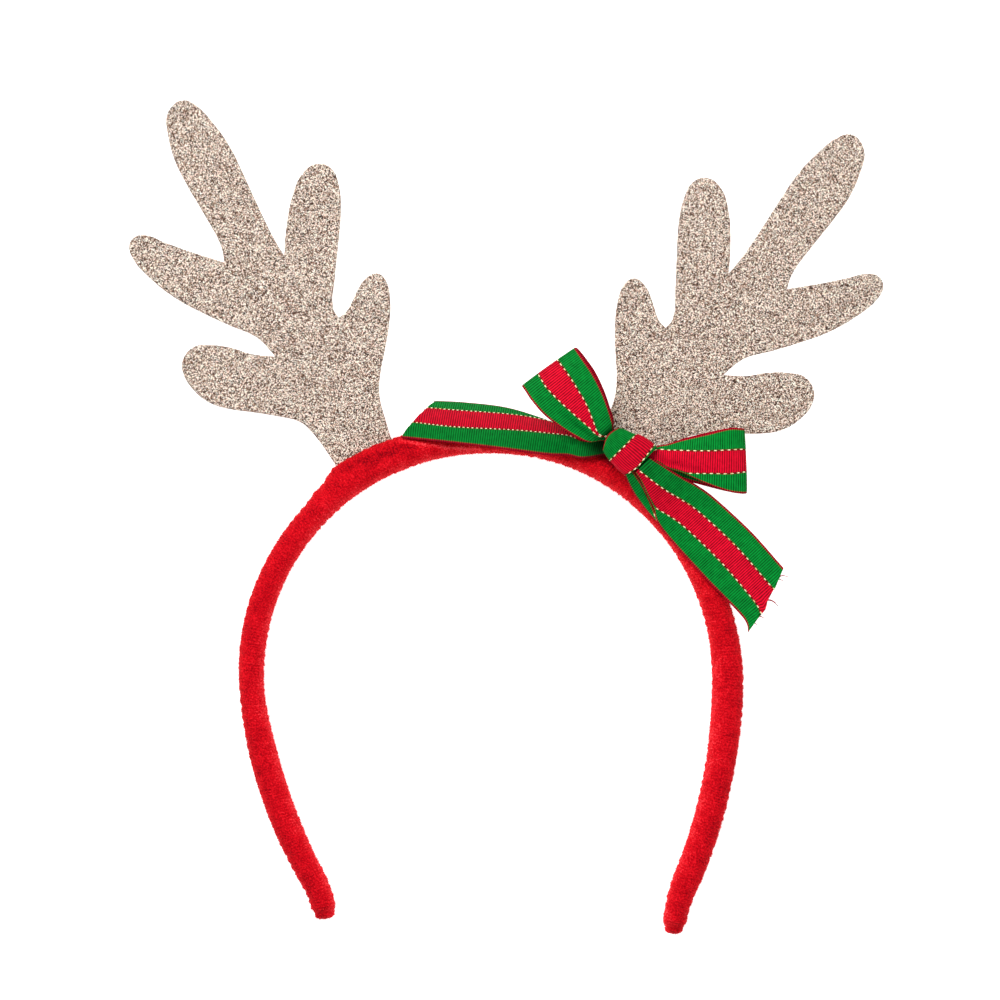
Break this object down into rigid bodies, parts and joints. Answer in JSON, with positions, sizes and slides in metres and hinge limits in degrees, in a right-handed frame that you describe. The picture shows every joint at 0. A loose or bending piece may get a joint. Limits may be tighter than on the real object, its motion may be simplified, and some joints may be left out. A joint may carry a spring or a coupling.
{
  "type": "reindeer antler headband",
  "caption": "Arched costume headband in padded red velour, with flat glitter reindeer antlers and a striped ribbon bow on its front.",
  "frame": {"origin": "centre of the band's flattened back at the crown, where it rests on the surface", "axes": "the headband lies on its back: +Z out of its front, where the bow is, +Y up the worn headband towards the antlers' tips, +X to the right seen from the front"},
  "size_m": [0.2038, 0.2244, 0.0193],
  "materials": {
    "velour": "red velour cover with a fine cross rib",
    "glitter_sheet": "champagne glitter on a soft sheet",
    "ribbon": "ribbed ribbon in green, red and green with gold stitched lines"
  },
  "bodies": {
    "root": {"band": "velour", "left_antler": "glitter_sheet", "right_antler": "glitter_sheet", "bow_knot": "ribbon", "bow_loop_left": "ribbon", "bow_loop_right": "ribbon", "bow_tail_left": "ribbon", "bow_tail_right": "ribbon"}
  },
  "joints": []
}
